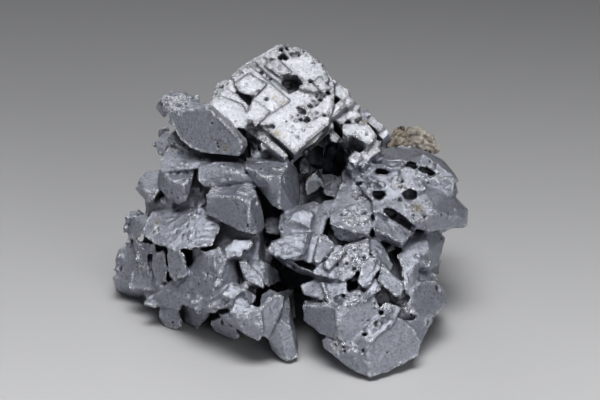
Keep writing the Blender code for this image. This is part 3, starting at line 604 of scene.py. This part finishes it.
def raised(lift, *outline):
    """A flat-topped growth over an outline on the display face. Each corner also says how much further out it is."""
    root, taper = 3.5, 0.9
    across, up = middle_of(outline)
    front = reach(across, up) + lift
    corners = []
    for place in outline:
        corners.append((place[0], place[1], front + place[2]))
        corners.append((across + taper * (place[0] - across), up + taper * (place[1] - up), front - lift - root))
    return hull(*corners)


def rod(wide, proud, *path):
    """Short round-edged bars laid end to end along a path on the display face, proud of the ore by some mm."""
    bars = []
    for (a, b), (c, d) in zip(path, path[1:]):
        along = Vector((c - a, d - b)).normalized() * wide / 2
        aside = Vector((-along.y, along.x))
        corners = []
        for (across, up), way in (((a, b), -0.6), ((c, d), 0.6)):
            out = reach(across, up)
            for side, lift in ((1.0, -1.5), (1.0, 0.35 * proud), (0.55, proud)):
                for sign in (-1, 1):
                    place = Vector((across, up)) + aside * sign * side + along * way
                    corners.append((place.x, place.y, out + lift))
        bars.append(hull(*corners))
    return bars


# The holes that together make the dark recess under the summit, each as its depth and its outline.
RECESS = [
    (20, (5.2, 12.4), (4.6, 15.6), (7.7, 18.6), (9.6, 17.6), (9.8, 12.6), (8.2, 10.8)),
    (15, (8.8, 9.5), (9.3, 14.0), (10.2, 18.9), (13.8, 19.2), (12.9, 13.4), (11.8, 9.8)),
    (22, (11.4, 10.6), (12.9, 16.4), (14.9, 18.4), (16.0, 12.8), (14.0, 9.0), (12.4, 9.3)),
    (17, (3.4, 16.4), (4.9, 17.8), (6.6, 15.4), (4.4, 13.6)),
]
slots = [
    dug(8, (8.0, -7.9), (8.6, -8.8), (8.6, -9.8), (7.7, -11.4), (7.0, -11.2)),
    dug(7, (11.4, -11.5), (11.7, -12.1), (9.3, -15.3), (8.3, -15.8), (8.2, -15.3), (10.0, -13.6)),
    dug(4, (12.6, -14.8), (12.8, -15.4), (11.6, -17.6), (11.1, -17.3), (12.1, -15.3)),
    dug(3, (12.3, -20.6), (12.7, -21.3), (14.7, -20.4), (14.4, -19.9)),
    dug(7, (21.8, -13.8), (21.9, -14.5), (19.2, -19.0), (18.2, -19.4), (19.3, -17.0), (21.0, -14.2)),
    dug(9, (18.3, -19.5), (19.0, -20.0), (19.3, -21.6), (18.6, -22.4), (17.0, -22.6), (16.4, -21.7), (16.8, -20.4)),
    dug(3, (21.7, -18.2), (22.3, -17.9), (21.9, -19.1), (21.3, -19.5)),
    dug(3, (22.2, -16.9), (23.5, -16.4), (22.6, -17.3)),
    dug(3, (20.2, -20.5), (21.3, -20.3), (20.8, -21.1)),
    dug(4, (24.2, -20.9), (24.4, -21.6), (23.6, -23.2), (22.7, -23.5), (23.3, -22.0)),
    dug(3, (24.5, -19.7), (25.3, -19.9), (25.6, -20.6), (24.9, -20.6)),
    dug(7, (26.7, -21.8), (28.4, -21.4), (30.2, -24.6), (31.3, -26.6), (30.4, -27.3), (28.5, -26.2), (27.2, -23.8)),
    dug(3, (10.9, -22.6), (11.9, -22.2), (12.0, -23.4), (11.2, -23.6)),
    dug(3, (15.2, -23.4), (15.8, -23.8), (15.3, -24.4)),
    dug(4, (-1.6, -12.9), (0.2, -12.7), (0.4, -13.2), (-1.2, -13.3)),
    dug(4, (0.3, -12.8), (1.8, -12.1), (3.2, -11.2), (3.3, -11.7), (1.9, -12.6), (0.5, -13.2)),
    dug(3, (3.9, -10.6), (4.5, -10.5), (4.2, -11.5)),
    dug(3, (11.7, -2.8), (12.2, -3.0), (12.3, -4.2), (11.8, -4.1)),
    dug(5, (17.8, 8.0), (20.2, 7.9), (20.4, 7.1), (18.0, 6.7)),
    dug(5, (20.3, 7.9), (24.6, 7.0), (25.7, 5.9), (25.2, 5.5), (24.2, 6.1), (20.5, 7.0)),
    dug(6, (22.3, 5.2), (24.5, 5.1), (26.4, 5.4), (27.1, 4.4), (26.0, 3.0), (25.2, 2.6), (23.8, 3.2), (22.6, 4.4)),
    dug(6, (25.9, 0.2), (27.0, 0.6), (28.6, 0.4), (30.4, -0.6), (30.0, -2.2), (27.5, -1.5), (26.5, -0.8)),
    dug(6, (30.5, -0.6), (32.5, -2.0), (34.7, -4.4), (34.0, -4.9), (32.4, -3.5), (30.1, -2.3)),
    dug(4, (22.2, -0.6), (23.4, -1.2), (23.7, -2.0), (23.2, -4.2), (22.8, -4.2), (22.7, -2.4)),
    dug(5, (31.5, 5.2), (33.5, 6.0), (35.5, 5.5), (36.0, 3.4), (33.8, 2.6), (31.8, 2.8)),
    dug(3, (28.3, 4.2), (29.0, 5.1), (29.5, 4.1)),
    dug(3, (19.4, 3.3), (19.1, 2.3), (17.3, 0.7), (16.9, 1.0), (18.2, 2.1)),
    dug(3, (15.9, -0.2), (16.5, -0.3), (16.4, -1.3), (16.0, -1.2)),
    *[dug(*hole) for hole in RECESS],
    dug(5, (23.2, 11.6), (24.5, 11.5), (27.9, 10.7), (28.3, 9.8), (26.0, 9.4), (23.8, 10.1)),
    dug(6, (31.8, 13.7), (34.8, 13.5), (36.4, 12.3), (36.0, 11.1), (33.4, 11.3), (31.7, 12.3)),
    dug(5, (36.2, 12.1), (39.0, 11.1), (40.5, 9.9), (39.6, 9.0), (37.4, 9.9)),
    dug(5, (26.4, 0.4), (28.2, 0.7), (33.7, -3.2), (36.0, -4.9), (34.6, -5.5), (29.5, -3.5), (26.6, -1.3)),
    dug(4, (25.2, -31.2), (26.6, -31.0), (26.8, -32.0), (25.4, -32.4)),
    dug(4, (19.8, -34.4), (21.9, -34.4), (22.1, -35.4), (20.2, -36.0)),
    dug(3, (29.1, -37.4), (29.6, -37.6), (28.9, -39.2), (28.3, -39.0)),
    dug(3, (29.2, -31.2), (29.8, -31.6), (29.2, -33.4), (28.6, -33.2)),
]
shoulder_back = reach(38.0, 6.0) - 3.6
ribs = [
    hull(*itertools.product((39.5, 45.8), (4.0, 9.2), (shoulder_back - 5.0, shoulder_back - 1.0))),
    raised(1.2, (-18.3, -10.9, 0), (-16.0, -8.4, -1.5), (-10.6, -8.2, -1.5), (-10.2, -9.9, -0.8), (-14.0, -13.3, 0.8),
           (-17.4, -13.7, 0.8)),
    raised(1.0, (-14.5, -14.5, -0.6), (-12.5, -14.8, -0.6), (-8.3, -18.0, 0), (-7.3, -21.9, 0.8), (-11.6, -20.4, 0.8),
           (-13.0, -18.0, 0.4)),
    raised(1.2, (-19.3, -23.8, 0.4), (-16.6, -20.7, -1.4), (-12.3, -22.4, -1.4), (-16.0, -24.9, 0.8)),
    raised(1.9, (8.4, -6.8, 0), (9.9, -7.2, 0), (12.4, -9.5, 0), (11.2, -11.4, 0.3), (8.2, -15.2, 0.8),
           (6.4, -14.6, 0.6), (7.0, -12.2, 0.2), (8.7, -9.4, 0)),
    raised(1.9, (12.5, -10.1, 0), (13.4, -9.8, 0), (14.5, -10.1, 0), (15.6, -11.3, 0.2), (12.7, -14.8, 0.8),
           (11.0, -17.1, 1.4), (9.3, -16.3, 1.2), (9.6, -15.3, 1.0)),
    carved(
        raised(1.7, (-6.2, -11.3, -1.4), (-5.2, -9.2, -1.4), (-2.6, -8.4, -1.0), (-0.8, -7.3, -1.0),
               (4.2, -6.4, -0.8), (5.0, -6.8, 0.0), (4.1, -9.5, 0.8), (3.9, -12.2, 1.0), (1.5, -14.0, 0.8),
               (-1.5, -13.6, 0.6), (-4.0, -13.2, 0)),
        dug(0.0, (-2.0, -12.5), (0.4, -12.0), (3.4, -10.6), (3.5, -11.3), (0.5, -12.8), (-1.7, -13.2)),
        "DIFFERENCE",
    ),
    raised(1.3, (-25.9, 11.2, 1.0), (-24.7, 4.3, -2.5), (-29.4, 1.7, 0.0), (-30.0, 6.7, 1.2)),
    *rod(0.8, 2.5, (-0.4, -7.7), (2.0, -7.0), (4.5, -6.9), (4.2, -9.0)),
    raised(1.0, (0.5, -1.0, -1.4), (3.0, 0.4, -1.8), (6.8, -0.6, -1.6), (5.4, -5.4, 0.6), (3.5, -3.9, 0.8),
           (1.8, -3.5, 0.6)),
    raised(0.8, (19.8, -15.8, 0), (21.6, -14.4, -0.4), (22.6, -12.6, -0.6), (24.2, -13.6, -0.4), (23.6, -16.2, 0.2),
           (21.6, -20.2, 1.0), (20.2, -21.2, 1.0), (19.0, -20.4, 0.8)),
    raised(0.9, (25.6, -15.8, 0), (26.9, -16.0, -0.2), (30.4, -19.6, -0.2), (31.7, -21.4, 0), (31.4, -23.8, 0.4),
           (29.6, -24.6, 0.6), (28.8, -21.4, 0.4), (26.4, -19.6, 0.4), (24.4, -19.8, 0.4)),
    raised(0.8, (30.6, 11.4, -1.0), (33.4, 12.0, -1.2), (36.2, 10.4, -0.8), (37.6, 8.2, 0), (36.0, 6.6, 0.8),
           (32.4, 6.4, 1.0), (31.0, 8.6, 0.4)),
    raised(0.7, (36.8, 12.6, -0.8), (41.0, 13.4, -1.4), (45.6, 9.8, -0.6), (44.0, 9.2, 0.4), (40.0, 11.0, 0.6)),
    *rod(1.3, 1.1, (17.4, 9.3), (21.5, 9.0), (25.8, 6.9)),
    *rod(0.9, 0.9, (29.4, -31.0), (27.2, -33.2), (24.6, -34.8), (22.6, -37.2)),
    *rod(1.1, 0.9, (28.3, -28.2), (26.4, -29.8), (24.0, -30.8), (21.4, -33.2)),
    *rod(0.9, 0.9, (28.0, -2.6), (31.0, -4.4), (34.2, -6.2)),
    *rod(1.0, 0.9, (23.0, 12.4), (26.0, 12.2), (28.6, 11.2), (30.8, 12.0)),
    *rod(1.1, 1.0, (9.2, -20.6), (9.8, -22.5), (10.6, -24.2), (11.8, -25.8), (13.6, -26.9)),
    *rod(0.9, 0.9, (12.4, -24.6), (14.2, -25.0), (15.0, -26.2), (13.8, -27.0)),
    *rod(0.6, 0.7, (18.3, -26.4), (19.5, -25.3)),
    *rod(0.7, 0.8, (21.1, -25.8), (21.5, -24.6), (22.7, -23.9), (24.3, -23.5), (24.7, -21.5)),
    *rod(0.8, 0.8, (26.3, -15.4), (27.0, -17.2), (28.5, -18.5), (30.2, -19.7)),
    *rod(0.7, 0.7, (-4.4, -13.6), (-1.0, -15.3), (1.6, -16.9)),
    *rod(0.9, 0.8, (-44.1, -7.2), (-42.6, -9.2), (-41.0, -11.2)),
    *rod(0.8, 0.9, (0.3, -6.6), (2.6, -6.6), (5.6, -6.0)),
]
ORE_GRAIN = 0.42
cluster = carved(carved(solid, summit_block(OVERLAP), "DIFFERENCE"), joined(slots), "DIFFERENCE", crossing=True)
blocks = small_growth(count=1500, low=1.0, high=3.4, seed=5, wanted=crowded)
even = grown_mesh(joined([cluster, *ribs, *blocks]), ORE_GRAIN)
mark(even, etch(even, ORE_GRAIN, crisp=0.0, inside=lambda points: OVERLAP - summit_room(points)))
even.shade_smooth()
ore = bmesh.new()
ore.from_mesh(even)
back, front = halves(ore, from_face(0, 0, BACK_SEAM), direction(0, 0, 1))
back_left, back_right = halves(back, from_face(0, 0, 0), Vector((1, 0, 0)))
left, front = halves(front, from_face(LEFT_SEAM, 0, 0), Vector((1, 0, 0)))
middle, right = halves(front, from_face(RIGHT_SEAM, 0, 0), Vector((1, 0, 0)))
for name, part in (
    ("galena_back_left", back_left), ("galena_back_right", back_right), ("galena_left", left),
    ("galena_middle", middle), ("galena_right", right),
):
    data = bpy.data.meshes.new(name)
    part.to_mesh(data)
    part.free()
    piece = finished(name, data, galena)
    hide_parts("galena_cluster")

# The summit: the large cleaved crystal at the top, the plate at its left and the stair of small cubes at its
# right. Their faces are fresh cleavage, so they are brighter and crisper than the etched crystals below.
SUMMIT_GRAIN = 0.32
SQUARE_HOLES = [
    (5.5, 31.7, 1.1), (7.5, 32.3, 1.0), (6.5, 30.6, 1.0), (8.5, 31.0, 1.2), (5.7, 29.1, 1.3), (7.5, 29.5, 1.2),
    (8.7, 28.7, 1.0), (2.5, 28.5, 1.1), (3.9, 28.0, 1.0), (4.5, 26.2, 1.1), (5.8, 27.0, 1.0), (3.0, 25.4, 1.2),
    (1.2, 25.1, 0.9), (-0.8, 24.0, 1.0), (0.4, 26.2, 1.0), (7.4, 27.3, 1.1), (6.9, 25.8, 1.0), (-0.8, 44.6, 1.3),
    (0.6, 42.8, 1.5), (-2.8, 42.0, 1.2), (-2.5, 44.2, 1.2), (6.5, 40.5, 1.2), (6.0, 35.2, 1.4), (9.8, 34.5, 1.3),
    (-8.0, 38.5, 1.3), (-6.7, 37.6, 1.1), (-5.0, 41.2, 1.4), (-6.7, 23.2, 1.8), (-5.0, 23.4, 1.5), (3.6, 22.6, 0.9),
    (2.2, 20.4, 0.9), (5.4, 23.6, 1.0), (9.6, 26.6, 1.0), (-3.4, 28.3, 0.9), (-9.4, 33.6, 1.1), (-12.4, 27.0, 1.0),
]


def summit_place(across, up):
    """The right and left steps along the summit's edges that lead to a place on its bright face."""
    right_less_left = (across - SUMMIT_CORNER.x) / EDGE_UP.x
    right_and_left = (up - SUMMIT_CORNER.y) / EDGE_UP.y
    return (right_and_left + right_less_left) / 2, (right_and_left - right_less_left) / 2


def summit_prism(right, left, wide, long, top, bottom):
    """A box square to the summit's cleavage, from top to bottom mm above its bright face."""
    corners = []
    for r, l, h in itertools.product((-wide / 2, wide / 2), (-long / 2, long / 2), (bottom, top)):
        corners.append(SUMMIT_CORNER + EDGE_UP * (right + r) - EDGE_DOWN * (left + l) + NORMAL * h)
    return hull(*corners)


holes = [
    *[dug(*hole) for hole in RECESS],
    dug(2.4, (-21.1, 30.9), (-20.5, 31.3), (-17.0, 27.5), (-17.6, 27.1)),
    dug(2.4, (-18.8, 30.7), (-18.2, 30.9), (-14.7, 27.2), (-15.3, 26.8)),
    dug(2.2, (-12.9, 36.4), (-12.4, 36.8), (-10.0, 34.2), (-10.5, 33.8)),
    dug(2.2, (-1.0, 24.0), (-0.6, 24.3), (4.6, 19.0), (4.2, 18.7)),
    dug(2.0, (3.6, 39.8), (4.2, 40.0), (6.8, 37.0), (6.3, 36.7)),
]
draw = random.Random(3)
for across, up, wide in SQUARE_HOLES:
    right, left = summit_place(across, up)
    holes.append(summit_prism(right, left, 0.8 * wide, wide * draw.uniform(0.7, 1.3), 3.0, -1.2))


def summit_axes(points):
    """Each point's across and up on the display face, and how high it is over the summit's bright face."""
    place = on_face(points)
    return place[:, 0], place[:, 1], (place - np.array(SUMMIT_CORNER)) @ np.array(NORMAL)


def around_summit(points):
    """Where small cubes crowd the summit: on its flanks and on the stair beside it, not on its bright face."""
    across, up, height = summit_axes(points)
    right, left = summit_place(across, up)
    ragged = (left > 24.2) | (right > 21.6) | (across < -17) & (up > 29)
    return (summit_room(points) > 2) & (ragged | (height < -3.0) & (across > -12))


def freshly_cleaved(even):
    """From 0 to 1, where the ore is fresh cleavage: the top crystal and the stair, but not the plate at the left."""
    points = np.zeros(len(even.vertices) * 3)
    even.vertices.foreach_get("co", points)
    across, up, height = summit_axes(points.reshape(-1, 3) / MM)
    over_plate = ramp(up - 28.9 + 1.02 * (across + 23.2), -0.8, -0.2)
    return over_plate * np.maximum(ramp(height, -6.5, -4.0), ramp(across, 10, 12))


def ledge(lift, *outline):
    """A flat growth over an outline on the display face, level with the summit's bright cleavage."""
    middle = sum(place[1] for place in outline) / len(outline)
    return raised(lift, *[(across, up, (middle - up) * math.tan(CLEAVAGE_LEAN)) for across, up in outline])


plates = [
    raised(0.8, (-20.6, 25.9, 0.2), (-19.9, 26.4, -0.4), (-14.4, 20.8, -0.4), (-15.1, 20.1, 0.2)),
    ledge(0.9, (-23.4, 29.3), (-20.3, 32.2), (-13.3, 29.7), (-11.5, 25.4), (-12.4, 22.7), (-15.2, 23.1),
          (-18.8, 26.4)),
    ledge(1.2, (-15.7, 35.4), (-11.5, 38.2), (-6.2, 35.4), (-9.8, 31.9), (-13.9, 32.7)),
    ledge(0.7, (-10.5, 31.3), (-5.5, 27.5), (-9.8, 23.2), (-12.0, 27.0)),
    ledge(0.9, (-7.5, 40.6), (-3.6, 42.6), (0.6, 38.6), (-3.0, 37.4)),
    ledge(0.8, (-1.2, 45.6), (2.2, 45.2), (4.6, 42.0), (1.6, 41.2)),
    ledge(0.8, (6.2, 35.8), (8.4, 37.6), (11.4, 34.2), (9.4, 32.6)),
    raised(1.6, (-2.4, 33.9, 0), (-1.7, 35.7, -0.6), (0.1, 35.3, -0.6), (0.3, 33.9, 0)),
    raised(0.8, (15.0, 24.2, -0.4), (19.0, 24.3, -1.0), (22.2, 24.0, -1.4), (23.2, 22.4, -0.8), (23.8, 19.6, 0.4),
           (21.8, 18.2, 1.4), (18.0, 21.2, 1.0), (14.4, 22.4, 0.4)),
    raised(0.5, (10.6, 21.6, -0.4), (12.0, 22.4, -0.4), (14.2, 20.4, 0.2), (12.8, 18.7, 0.8), (11.4, 19.4, 0.6)),
    raised(0.4, (16.4, 14.6, -0.2), (18.5, 16.6, -0.8), (20.2, 15.3, -0.2), (18.6, 12.7, 0.8), (16.2, 13.3, 0.6)),
    raised(0.5, (1.7, 15.7, 0.6), (3.0, 17.6, 0), (6.6, 19.7, -0.6), (9.4, 22.8, -1.6), (9.0, 21.4, -1.6),
           (6.9, 18.7, -0.6)),
]
cluster = carved(merged_copy("galena_cluster"), summit_block(0.0), "INTERSECT")
cluster = carved(cluster, joined(holes), "DIFFERENCE", crossing=True)
blocks = small_growth(count=700, low=0.8, high=2.4, seed=9, wanted=around_summit)
even = grown_mesh(joined([cluster, *plates, *blocks]), SUMMIT_GRAIN)
marks = etch(even, SUMMIT_GRAIN, crisp=0.8, inside=summit_room)
marks["fresh"] = freshly_cleaved(even)
mark(even, marks)
even.shade_smooth()
piece = finished("galena_summit", even, galena)
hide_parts("galena_cluster")

# The siderite crust: small blunt brown and grey-cream grains that grew on the shoulder's upper edge.
siderite = bpy.data.materials.new("siderite")
siderite.use_nodes = True
nodes, links = siderite.node_tree.nodes, siderite.node_tree.links
place = nodes.new("ShaderNodeTexCoord").outputs["Object"]
colours = nodes.new("ShaderNodeValToRGB")
colours.color_ramp.elements[0].position = 0.38
colours.color_ramp.elements[0].color = (0.045, 0.032, 0.022, 1)
colours.color_ramp.elements[1].position = 0.63
colours.color_ramp.elements[1].color = (0.42, 0.38, 0.31, 1)
colours.color_ramp.elements.new(0.48).color = (0.17, 0.135, 0.10, 1)
bump = nodes.new("ShaderNodeBump")
bump.inputs["Strength"].default_value = 0.8
bump.inputs["Distance"].default_value = 0.0005
for scale, detail, target in ((520, 5, colours.inputs["Fac"]), (1900, 4, bump.inputs["Height"])):
    grain = nodes.new("ShaderNodeTexNoise")
    grain.inputs["Scale"].default_value = scale
    grain.inputs["Detail"].default_value = detail
    grain.inputs["Roughness"].default_value = 0.7
    links.new(place, grain.inputs["Vector"])
    links.new(grain.outputs["Fac"], target)
split = nodes.new("ShaderNodeSeparateXYZ")
links.new(place, split.inputs["Vector"])
paler = nodes.new("ShaderNodeMapRange")
paler.inputs["From Min"].default_value = 0.0315
paler.inputs["From Max"].default_value = 0.0350
paler.inputs["To Max"].default_value = 0.75
links.new(split.outputs["X"], paler.inputs["Value"])
mixed = nodes.new("ShaderNodeMix")
mixed.data_type = "RGBA"
mixed.blend_type = "SCREEN"
links.new(paler.outputs["Result"], mixed.inputs["Factor"])
links.new(colours.outputs["Color"], mixed.inputs["A"])
mixed.inputs["B"].default_value = (0.22, 0.215, 0.20, 1)
shader = nodes["Principled BSDF"]
shader.inputs["Roughness"].default_value = 0.75
links.new(mixed.outputs["Result"], shader.inputs["Base Color"])
links.new(bump.outputs["Normal"], shader.inputs["Normal"])

crust = merged_copy("siderite_crust")
draw = random.Random(12)
faces = draw.choices(crust.faces[:], weights=[face.calc_area() for face in crust.faces], k=420)
grains = [crust]
for face in faces:
    middle = somewhere_on(face, draw) + face.normal * MM * 0.05
    turn = Euler([draw.uniform(-1.5, 1.5) for _ in range(3)]).to_matrix()
    size = draw.uniform(0.5, 1.3) * MM
    corners = []
    for corner in itertools.product((-0.5, 0.5), repeat=3):
        corners.append(middle + turn @ (Vector(corner) * size * draw.uniform(0.7, 1.1)))
    grains.append(hull_around(corners))
SIDERITE_GRAIN = 0.2
even = grown_mesh(joined(grains), SIDERITE_GRAIN)
even.shade_smooth()
piece = finished("siderite_grains", even, siderite)
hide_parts("siderite_crust")

# The studio: a pale floor, a large soft light overhead and the camera in front of the display face.
sweep = bmesh.new()
bmesh.ops.create_grid(sweep, x_segments=1, y_segments=1, size=3.0)
data = bpy.data.meshes.new("floor")
sweep.to_mesh(data)
sweep.free()
floor = bpy.data.objects.new("floor", data)
bpy.context.scene.collection.objects.link(floor)
paper = bpy.data.materials.new("paper")
paper.use_nodes = True
paper.node_tree.nodes["Principled BSDF"].inputs["Base Color"].default_value = (0.42, 0.42, 0.425, 1)
paper.node_tree.nodes["Principled BSDF"].inputs["Roughness"].default_value = 0.7
floor.data.materials.append(paper)


def soft_light(name, place, aim, width, depth, power, spread):
    """A rectangular light, aimed at a place. Its power is in watts and its spread in degrees."""
    lamp = bpy.data.lights.new(name, "AREA")
    lamp.shape = "RECTANGLE"
    lamp.size = width
    lamp.size_y = depth
    lamp.energy = power
    lamp.spread = math.radians(spread)
    holder = bpy.data.objects.new(name, lamp)
    bpy.context.scene.collection.objects.link(holder)
    holder.location = place
    holder.rotation_mode = "QUATERNION"
    holder.rotation_quaternion = (Vector(place) - Vector(aim)).to_track_quat("Z", "Y")


soft_light("overhead_softbox", (0.0, -0.32, 0.75), (0.0, -0.32, 0.0), 0.95, 0.66, 3.5, 56)
soft_light("back_fill", (-0.35, 0.75, 0.30), (0.0, 0.0, 0.03), 0.5, 0.5, 0.20, 60)
soft_light("front_fill", (0.55, -0.85, 0.30), (0.0, 0.0, 0.03), 0.5, 0.5, 0.9, 110)
world = bpy.data.worlds.new("studio")
bpy.context.scene.world = world
world.use_nodes = True
world.node_tree.nodes["Background"].inputs["Color"].default_value = (0.08, 0.082, 0.088, 1)
bpy.context.scene.view_settings.view_transform = "Standard"

camera = bpy.data.objects.new("camera", bpy.data.cameras.new("camera"))
bpy.context.scene.collection.objects.link(camera)
PICTURE_WIDTH, PICTURE_PIXELS, SHIFT_PIXELS = 168, 600, 10
sight = direction(0, 0, 1)
camera.location = MM * (FACE_MIDDLE + sight * VIEW_DISTANCE)
camera.rotation_mode = "QUATERNION"
camera.rotation_quaternion = (-sight).to_track_quat("-Z", "Y")
camera.data.lens = camera.data.sensor_width * VIEW_DISTANCE / PICTURE_WIDTH
camera.data.shift_x = SHIFT_PIXELS / PICTURE_PIXELS
camera.data.shift_y = SHIFT_PIXELS / PICTURE_PIXELS
camera.data.clip_start = 0.01
bpy.context.scene.camera = camera
